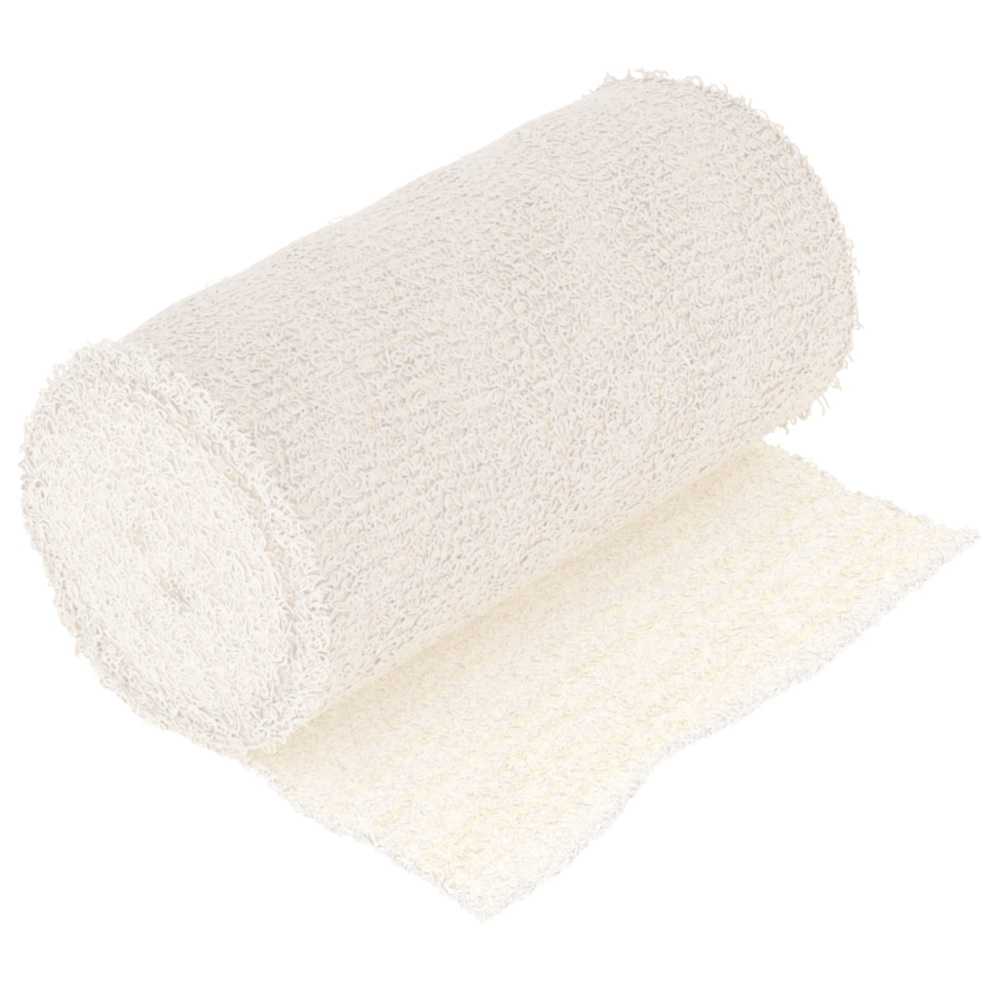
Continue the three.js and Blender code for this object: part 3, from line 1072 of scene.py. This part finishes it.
    def end_anchors(self, rng: Rng, face: Face, density: float) -> Anchors:
        """Scatter anchors along the fine turns of one end, and some more over its groove.

        Args:
            rng: Where the scatter is drawn from.
            face: Which end.
            density: Curls per square metre.

        Returns:
            The anchors.
        """
        winding = self.winding
        count = int(math.pi * winding.radius ** 2 * density)
        turned, far = spread_evenly(rng, count)
        radius = (winding.radius - self.bare_end) * np.sqrt(far)
        angle = 2.0 * np.pi * turned
        share = winding.share(angle)
        turn = radius / self.turn_pitch + share
        radius = np.clip(radius + self.turn_pull * np.sin(2.0 * np.pi * turn), 0.1 * MM, None)
        bridging = rng.random(count) < self.bridging_share
        over_groove = rng.uniform(*self.bridging_mm, count) * MM
        radius = np.where(bridging, over_groove, radius)
        depth = winding.end_depth(face, radius, angle) + self.under - self.bridging_rise * bridging
        scaled = radius * winding.outline(share) / winding.radius
        place = winding.place(scaled, angle, winding.end_y(face, depth))
        out = np.zeros((count, 3))
        out[:, 1] = face.value
        _, run = winding.round_axis(angle)
        return Anchors(place, run, out, np.zeros(count))

    def build(self) -> None:
        """Build the roll's body, its yarn and its selvedge stitches."""
        body = self.body()
        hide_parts("wound_roll")
        dress(body, ROLL_YARN.material(marked=False))
        side_yarn, end_yarn = ROLL_YARN.material(marked=True), END_YARN.material(marked=True)
        for patch in self.patches:
            piece = grow(patch.name, patch.style, patch.seed, partial(self.side_anchors, patch=patch))
            dress(piece, side_yarn)
        for name, style, seed, face, density in (
            ("near_end_yarn", NEAR_CURLS, 21, Face.NEAR, self.near_density),
            ("far_end_yarn", FAR_CURLS, 22, Face.FAR, self.far_density),
        ):
            piece = grow(name, style, seed, partial(self.end_anchors, face=face, density=density))
            dress(piece, end_yarn)
        rng = np.random.default_rng(31)
        for name, face, inside, width in (
            ("near_selvedge_outer", Face.NEAR, 0.0, self.near_chain_width),
            ("near_selvedge_inner", Face.NEAR, self.inner_chain, self.near_chain_width),
            ("far_selvedge_outer", Face.FAR, 0.0, self.far_chain_width),
        ):
            dress(Chain(self.winding, width=width).build(name, face, inside, rng), end_yarn)


# The inverse of the plastic number and its square: steps that fill a square without rows
EVEN_STRIDES = (0.7548776662, 0.5698402910)


def spread_evenly(rng: Rng, count: int) -> tuple[Array, Array]:
    """Give places spread evenly, but not in rows, over a unit square.

    Args:
        rng: Where the shift and the jitter are drawn from.
        count: How many places.

    Returns:
        Their two coordinates, from 0 to 1.
    """
    number = np.arange(count)
    jitter = 0.3 / math.sqrt(count)
    places = []
    for stride in EVEN_STRIDES:
        place = number * stride + rng.random() + rng.normal(0.0, jitter, count)
        places.append(np.mod(place, 1.0))
    return places[0], places[1]


def finished(name: str, mesh: bmesh.types.BMesh) -> bpy.types.Object:
    """Turn a bmesh's faces outward and put it in the scene as an object.

    Args:
        name: The object's name.
        mesh: The bmesh, which is freed.

    Returns:
        The new object.
    """
    bmesh.ops.recalc_face_normals(mesh, faces=mesh.faces[:])
    for face in mesh.faces:
        face.smooth = True
    data = bpy.data.meshes.new(name)
    mesh.to_mesh(data)
    mesh.free()
    return in_scene(name, data)


@dataclass
class LooseEnd:
    """The loose end of the strip: a sheet with yarn on the sides that show and round its edges."""

    form: SheetForm
    columns: int = 72
    rows: int = 84
    rib_glow: float = 0.75
    tuft_glow: float = 0.1
    wound_edge_glow: float = 0.3
    yarn_start: float = 4.0 * MM
    tail_density: float = 1.2 * PER_MM2
    wrap_density: float = 0.82 * PER_MM2
    tuft_height: float = 0.11 * MM
    tuft_length: float = 0.43 * MM
    tuft_width: float = 0.47 * MM
    tuft_bend: float = 2.0
    tuft_bend_length: float = 1.9 * MM
    crease_from: float = -6.0 * MM
    crease_fade: Span = (3.0 * MM, 24.0 * MM)
    wrap_margin: float = 0.4 * MM
    wrap_stop: float = -2.0 * MM
    rib_parting: float = 0.08 * MM
    cut_depth: float = 1.3 * MM

    @property
    def winding(self) -> Winding:
        """Return the roll's winding."""
        return self.form.winding

    def on_sheet(self, along_share: Array, across_share: Array) -> tuple[Array, Array]:
        """Turn shares of the sheet's length and width into distances along and across it.

        Args:
            along_share: Shares of its length, from where it starts to its cut end.
            across_share: Shares of its width, from the near selvedge to the far one.

        Returns:
            Distances from under the axis, and from the near end's plane.
        """
        form = self.form
        along = form.start + (form.flat_length - form.start) * along_share
        across = form.across(along, across_share)
        stretch = form.end_at(across) / form.flat_length
        along = np.where(along > 0.0, along * stretch, along)
        return along, form.across(along, across_share)

    def body(self) -> bpy.types.Object:
        """Thicken a flat grid by extrusion, then lay both its sides along the sheet's path.

        Returns:
            The new object.
        """
        mesh = bmesh.new()
        bmesh.ops.create_grid(mesh, x_segments=self.columns, y_segments=self.rows, size=0.5)
        made = bmesh.ops.extrude_face_region(mesh, geom=mesh.faces[:])
        copies = [item for item in made["geom"] if isinstance(item, bmesh.types.BMVert)]
        bmesh.ops.translate(mesh, verts=copies, vec=(0.0, 0.0, -1.0))
        at = np.array([vert.co for vert in mesh.verts])
        along, across = self.on_sheet(at[:, 0] + 0.5, at[:, 1] + 0.5)
        upper, _ = self.form.upper(along, across)
        lower, _ = self.form.lower(along, across)
        for vert, place in zip(mesh.verts, np.where(at[:, 2:] < -0.5, lower, upper)):
            vert.co = place
        piece = finished("loose_end_body", mesh)
        glow = np.maximum(self.crease(along), self.rib_glow * self.form.on_rib(along, across))
        keep_marks(piece.data, np.stack([0 * along, 0.5 + 0 * along, glow], -1))
        return piece

    def crease(self, along: Array) -> Array:
        """Return how warm the light is that falls between the sheet and the roll."""
        return smooth(along, self.crease_from, 0.0) * (1.0 - smooth(along, *self.crease_fade))

    def top_anchors(self, rng: Rng) -> Anchors:
        """Scatter anchors on the flat part of the sheet.

        Args:
            rng: Where the scatter is drawn from.

        Returns:
            The anchors.
        """
        form = self.form
        count = int((form.flat_length - self.yarn_start) * form.width * self.tail_density)
        share = (self.yarn_start - form.start) / (form.flat_length - form.start)
        out_to, over = spread_evenly(rng, count)
        along, across = self.on_sheet(share + (1.0 - share) * out_to, over)
        place, _ = form.upper(along, across)
        bend = self.tuft_bend * np.sin(across / self.tuft_bend_length)
        tufts = np.sin(along / self.tuft_length + bend) * np.sin(across / self.tuft_width)
        place[:, 2] += self.tuft_height * tufts
        up = np.tile([0.0, 0.0, 1.0], (count, 1))
        run = np.tile([1.0, 0.0, 0.0], (count, 1))
        rib = form.on_rib(along, across)
        place[:, 2] -= self.rib_parting * rib
        warm = np.maximum(self.rib_glow * rib, self.tuft_glow * (1.0 - tufts))
        return Anchors(place, run, up, np.clip(np.maximum(self.crease(along), warm), 0.0, 1.0))

    def wound_anchors(self, rng: Rng) -> Anchors:
        """Scatter anchors on the outer side of the sheet where it still follows the roll.

        Args:
            rng: Where the scatter is drawn from.

        Returns:
            The anchors.
        """
        form = self.form
        start = form.start + self.wrap_margin
        count = int(-start * form.width * self.wrap_density)
        round_to, over = spread_evenly(rng, count)
        along = start + (self.wrap_stop - start) * round_to
        across = form.across(along, over)
        place, out = form.lower(along, across)
        run = np.stack([out[:, 2], 0 * along, -out[:, 0]], -1)
        return Anchors(place, run, out, 0 * along)

    def edge_anchors(self, rng: Rng, far: bool, spacing: float) -> Anchors:
        """Place anchors along one selvedge.

        Args:
            rng: Where the scatter is drawn from.
            far: True for the far selvedge.
            spacing: Their mean distance.

        Returns:
            The anchors.
        """
        form = self.form
        count = int((form.flat_length - form.start) / spacing)
        along, across = self.on_sheet(np.sort(rng.random(count)), np.full(count, 1.0 if far else 0.0))
        upper, out = form.upper(along, across)
        lower, _ = form.lower(along, across)
        place = lower + (upper - lower) * rng.uniform(0.1, 1.0, (count, 1))
        away = np.tile([0.0, 1.0 if far else -1.0, 0.0], (count, 1))
        flat = along > 0.0
        tangent = np.stack([out[:, 2], 0 * along, -out[:, 0]], -1)
        tangent[flat] = (1.0, 0.0, 0.0)
        glow = np.where(flat, 0.5 * self.crease(along), self.wound_edge_glow)
        return Anchors(place, tangent, away, glow)

    def cut_anchors(self, rng: Rng, spacing: float) -> Anchors:
        """Place anchors along the cut end.

        Args:
            rng: Where the scatter is drawn from.
            spacing: Their mean distance.

        Returns:
            The anchors.
        """
        form = self.form
        count = int(form.width / spacing)
        along, across = self.on_sheet(np.ones(count), rng.random(count))
        upper, _ = form.upper(along, across)
        down = rng.uniform(0.0, 1.0, count) * self.cut_depth
        place = upper - np.stack([0 * along, 0 * along, down], -1)
        out = np.tile([1.0, 0.0, 0.0], (count, 1))
        run = np.tile([0.0, 1.0, 0.0], (count, 1))
        return Anchors(place, run, out, 0 * along)

    def build(self) -> list[bpy.types.Object]:
        """Build the sheet and its yarn.

        Returns:
            The sheet's body and its piles.
        """
        body = self.body()
        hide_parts("loose_end")
        dress(body, LOOSE_YARN.material(marked=False))
        yarn, edge_yarn = LOOSE_YARN.material(marked=True), FRINGE_YARN.material(marked=True)
        # The wrapped part takes roll_yarn, the shaded copy, with painted shade on its darker top
        wrap_yarn = ROLL_YARN.material(marked=True)
        near, far = partial(self.edge_anchors, far=False), partial(self.edge_anchors, far=True)
        cut = self.cut_anchors
        pieces = []
        for name, style, seed, anchors_of, material in (
            ("tail_yarn", TAIL_CURLS, 41, self.top_anchors, yarn),
            ("wrap_yarn", WRAP_CURLS, 42, self.wound_anchors, wrap_yarn),
            ("near_fringe", FRINGE_CURLS, 43, partial(near, spacing=0.22 * MM), edge_yarn),
            ("far_fringe", FRINGE_CURLS, 44, partial(far, spacing=0.25 * MM), edge_yarn),
            ("cut_fringe", FRINGE_CURLS, 45, partial(cut, spacing=0.25 * MM), edge_yarn),
            ("cut_hairs", LOOSE_HAIRS, 46, partial(cut, spacing=5.0 * MM), edge_yarn),
            ("edge_hairs", LOOSE_HAIRS, 47, partial(near, spacing=6.0 * MM), edge_yarn),
        ):
            piece = grow(name, style, seed, anchors_of, floor=0.0)
            dress(piece, material)
            pieces.append(piece)
        return [body, *pieces]


@dataclass(frozen=True)
class Chain:
    """A selvedge's looped stitches, one after another round the end of the roll."""

    winding: Winding
    pitch: float = 0.8 * MM
    width: float = 1.8 * MM
    thickness: float = 0.54 * MM
    steps: int = 9
    # Share of the top colour over the painted shade colour on the stitches; their flanks take more painted
    # shade
    level: float = 0.75
    fall: float = 0.75 * MM
    jitter: float = 0.35
    lean: float = 0.3
    lean_shift: float = 0.3 * MM
    overlap: float = 0.75
    sunk: float = 0.1 * MM
    overhang: float = -0.35 * MM

    def build(self, name: str, face: Face, inside: float, rng: Rng) -> bpy.types.Object:
        """Make the loops.

        Args:
            name: The piece's name.
            face: Which end they lie on.
            inside: How far they lie inside the outer turn.
            rng: Where their unevenness is drawn from.

        Returns:
            The new object.
        """
        winding = self.winding
        count = int(2.0 * np.pi * winding.radius / self.pitch)
        middle = winding.joint_angle + 2.0 * np.pi * (np.arange(count) + 0.5) / count
        middle = middle + rng.normal(0.0, self.jitter, count) * self.pitch / winding.radius
        share = np.linspace(0.0, 1.0, self.steps)[None, :]
        sweep = np.pi * (share - 0.5) * rng.uniform(0.8, 1.15, (count, 1))
        lean = rng.normal(0.0, self.lean, (count, 1))
        half = 0.5 * self.width * rng.uniform(0.5, 1.2, (count, 1))
        over = half * np.sin(sweep) + lean * self.lean_shift
        ahead = self.overlap * self.pitch * np.cos(sweep) + lean * over
        radius = winding.outline(winding.share(middle))[:, None] - inside
        depth = winding.end_depth(face, radius + 0 * share, middle[:, None] + 0 * share)
        plane = 0.0 if face is Face.NEAR else winding.length
        slope = winding.side_slope(middle[:, None], 0 * share + plane)
        edge = np.clip(over / half, -1.0, 1.0)
        fall = self.fall * (0.5 * (1.0 + edge)) ** 2
        radius = radius - slope - self.sunk - fall + rng.normal(0.0, self.sunk, (count, 1))
        y = winding.end_y(face, depth) + face.value * (over + self.overhang)
        angle = middle[:, None] + ahead / winding.radius
        paths = winding.place(radius, angle, y)
        thick = 0.5 * self.thickness * rng.uniform(0.85, 1.15, (count, 1)) * np.ones_like(share)
        out, _ = winding.round_axis(middle)
        marks = np.stack([self.level + 0 * over, rng.random((count, 1)) + 0 * over, 0 * over], -1)
        piece = tube_mesh(name, paths, thick, out, marks)
        curl_unwrap(piece.data, count, self.steps)
        return piece


@dataclass(frozen=True)
class Studio:
    """The camera, floor and lights."""

    azimuth: float = math.radians(44.342)
    elevation: float = math.radians(32.4)
    roll: float = math.radians(-2.004)
    distance: float = 491.46 * MM
    target: tuple[float, float, float] = (1.235 * MM, -6.318 * MM, 20.96 * MM)
    lens: float = 139.93
    sensor: float = 36.0
    clip: Span = (0.01, 20.0)
    floor_size: float = 6.0
    floor_grey: float = 0.3
    floor_light: float = 0.85
    floor_drop: float = 0.15 * MM
    sky_light: float = 0.85
    key_place: tuple[float, float, float] = (-0.15, -0.75, 0.55)
    key_size: float = 0.6
    key_watts: float = 0.2
    fill_place: tuple[float, float, float] = (0.12, -0.08, 0.55)
    fill_size: float = 0.5
    fill_watts: float = 1.25
    fill_colour: Colour = (1.0, 0.93, 0.82)
    gamma: float = 3.0
    softness: float = 2.4
    bounces: int = 8

    def camera(self) -> None:
        """Stand the camera where the photograph was taken from."""
        level = math.cos(self.elevation)
        back = Vector(
            (math.sin(self.azimuth) * level, -math.cos(self.azimuth) * level, math.sin(self.elevation))
        )
        right = Vector((math.cos(self.azimuth), math.sin(self.azimuth), 0.0))
        above = back.cross(right)
        turned = right * math.cos(self.roll) + above * math.sin(self.roll)
        upright = above * math.cos(self.roll) - right * math.sin(self.roll)
        lens = bpy.data.cameras.new("camera")
        lens.lens, lens.sensor_width = self.lens, self.sensor
        lens.clip_start, lens.clip_end = self.clip
        camera = in_scene("camera", lens)
        camera.matrix_world = Matrix.Translation(Vector(self.target) + back * self.distance) @ Matrix(
            (turned, upright, back)
        ).transposed().to_4x4()
        bpy.context.scene.camera = camera

    def floor(self) -> None:
        """Lay the pale floor."""
        mesh = bmesh.new()
        bmesh.ops.create_grid(mesh, x_segments=1, y_segments=1, size=0.5 * self.floor_size)
        data = bpy.data.meshes.new("floor")
        mesh.to_mesh(data)
        mesh.free()
        paper = bpy.data.materials.new("paper")
        paper.use_nodes = True
        shader = paper.node_tree.nodes["Principled BSDF"]
        shader.inputs["Base Color"].default_value = (*[self.floor_grey] * 3, 1.0)
        shader.inputs["Roughness"].default_value = 0.9
        shader.inputs["Specular IOR Level"].default_value = 0.0
        shader.inputs["Emission Color"].default_value = (1.0, 1.0, 1.0, 1.0)
        shader.inputs["Emission Strength"].default_value = self.floor_light
        data.materials.append(paper)
        floor = in_scene("floor", data)
        floor.location.z = -self.floor_drop

    def light(self, name: str, place: Vector, size: float, watts: float) -> bpy.types.Object:
        """Hang one soft light, facing the object.

        Args:
            name: The light's name.
            place: Where it hangs.
            size: The side of its square.
            watts: Its power.

        Returns:
            The new light.
        """
        lamp = bpy.data.lights.new(name, "AREA")
        lamp.energy, lamp.size = watts, size
        light = in_scene(name, lamp)
        light.location = place
        light.rotation_euler = place.to_track_quat("Z", "Y").to_euler()
        return light

    def lights(self, loose_pieces: list[bpy.types.Object]) -> None:
        """Light the scene evenly from all round, and the loose end by a warm light of its own.

        Args:
            loose_pieces: What the warm light falls on, unshaded by the roll.
        """
        world = bpy.data.worlds.new("studio")
        world.use_nodes = True
        sky = world.node_tree.nodes["Background"]
        sky.inputs["Color"].default_value = (1.0, 1.0, 1.0, 1.0)
        sky.inputs["Strength"].default_value = self.sky_light
        bpy.context.scene.world = world
        self.light("key", Vector(self.key_place), self.key_size, self.key_watts)
        warm = self.light("loose_end_fill", Vector(self.fill_place), self.fill_size, self.fill_watts)
        warm.data.color = self.fill_colour
        lit = bpy.data.collections.new("lit_by_fill")
        for piece in loose_pieces:
            lit.objects.link(piece)
        warm.light_linking.receiver_collection = lit
        warm.light_linking.blocker_collection = lit
        scene = bpy.context.scene
        scene.view_settings.view_transform = "Standard"
        scene.view_settings.gamma = self.gamma
        scene.cycles.filter_width = self.softness
        scene.cycles.diffuse_bounces = self.bounces
        scene.cycles.max_bounces = self.bounces

    def build(self, loose_pieces: list[bpy.types.Object]) -> None:
        """Set up the whole studio.

        Args:
            loose_pieces: What the warm light falls on.
        """
        self.camera()
        self.floor()
        self.lights(loose_pieces)


def dress(piece: bpy.types.Object, material: bpy.types.Material) -> None:
    """Give a piece its material, body and slot, and report it.

    Args:
        piece: The piece.
        material: Its material, with painted light and shade.
    """
    piece.data.materials.append(material)
    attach(piece, "root")
    LOG.info("%s: %d faces", piece.name, len(piece.data.polygons))


def grow(
    name: str, style: CurlStyle, seed: int, anchors_of: Callable[[Rng], Anchors], floor: float | None = None
) -> bpy.types.Object:
    """Grow one pile of curls.

    Args:
        name: The piece's name.
        style: How its curls lie.
        seed: What its draws start from.
        anchors_of: A call that gives the anchors from the pile's random draws.
        floor: The lowest height that the yarn may reach, or None.

    Returns:
        The new object.
    """
    pile = YarnPile(name, style, np.random.default_rng(seed))
    anchors = anchors_of(pile.rng)
    piece = pile.build(anchors, floor)
    curl_unwrap(piece.data, len(anchors.place), style.steps)
    return piece


def main() -> None:
    """Build the roll, its loose end and the studio, in that order."""
    logging.basicConfig(level=logging.INFO, format="%(message)s")
    winding = Winding()
    WoundRoll(winding).build()
    loose_pieces = LooseEnd(SheetForm(winding)).build()
    Studio().build(loose_pieces)


if __name__ == "__main__":
    main()
